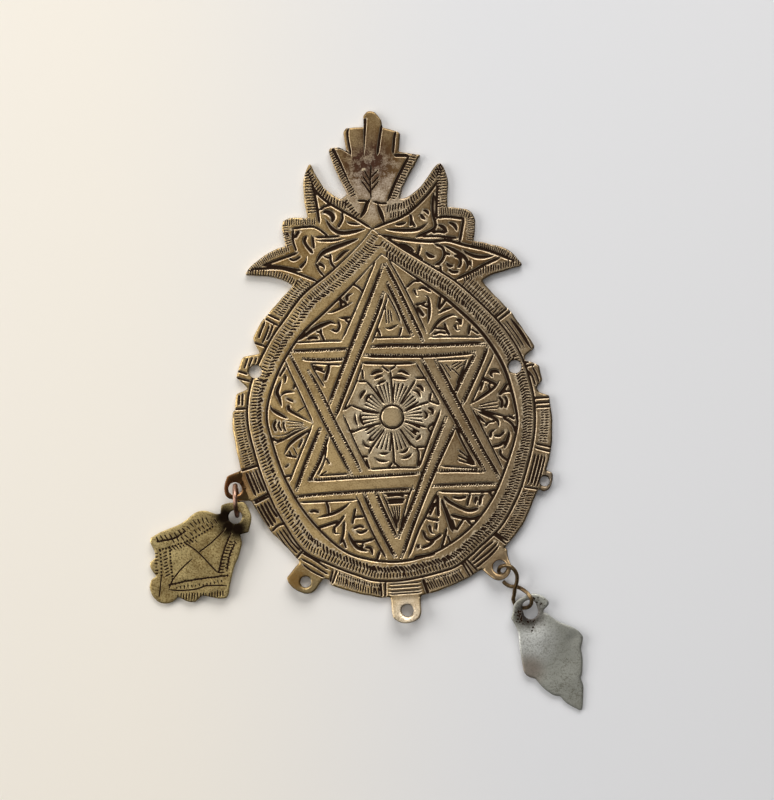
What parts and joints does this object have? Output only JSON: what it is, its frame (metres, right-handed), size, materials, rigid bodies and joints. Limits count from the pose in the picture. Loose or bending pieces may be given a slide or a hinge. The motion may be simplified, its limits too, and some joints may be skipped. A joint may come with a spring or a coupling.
{
  "type": "amulet pendant",
  "caption": "Flat engraved metal pendant with a star medallion, a hand crown, pierced rim ears and small drops that lie on wire links.",
  "frame": {"origin": "on the back face, under the middle of the rosette", "axes": "+Z out of the engraved face, +Y towards the tip of the hand on the crown, +X to the right as seen from the front"},
  "size_m": [0.0816, 0.1165, 0.0065],
  "materials": {
    "engraved_silver": "old silver, hand engraved, with dark tarnish in the cuts",
    "copper_wire": "dull copper wire",
    "brass_wire": "dark brown brass wire",
    "yellowed_silver": "yellowed old silver, dull",
    "worn_silver": "thin worn grey silver"
  },
  "bodies": {
    "root": {"plate": "engraved_silver", "ring_left": "copper_wire", "link_right": "brass_wire", "drop_left": "yellowed_silver", "drop_right": "worn_silver"}
  },
  "joints": []
}
